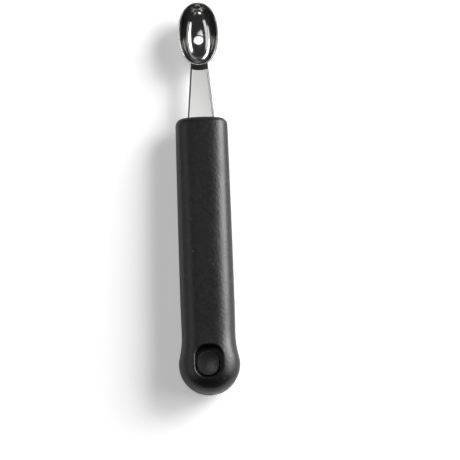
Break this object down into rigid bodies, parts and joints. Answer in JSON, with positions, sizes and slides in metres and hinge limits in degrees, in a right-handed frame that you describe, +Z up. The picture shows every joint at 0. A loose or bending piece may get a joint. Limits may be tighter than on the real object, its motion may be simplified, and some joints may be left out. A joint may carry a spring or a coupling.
{
  "type": "melon baller",
  "caption": "Melon baller: small oval steel scoop with a vent hole, on a flat tapered shank set in a matt black moulded handle with a recessed bulb end.",
  "frame": {"origin": "on the surface that the tool lies on, below the middle of its overall box", "axes": "+Y along the tool from the handle's bulb to the scoop's tip, +Z up with the bowl's mouth upward, +X to the right seen from above with the tip away"},
  "size_m": [0.0241, 0.1604, 0.0163],
  "materials": {
    "polished_steel": "mirror-polished stainless steel, pressed",
    "satin_steel": "polished stainless strip with tumbled edges",
    "core_plastic": "smooth moulded black polypropylene",
    "grip_plastic": "spark-textured matt black moulding"
  },
  "bodies": {
    "root": {"scoop_bowl": "polished_steel", "shank": "satin_steel", "handle_core": "core_plastic", "handle_grip": "grip_plastic"}
  },
  "joints": []
}
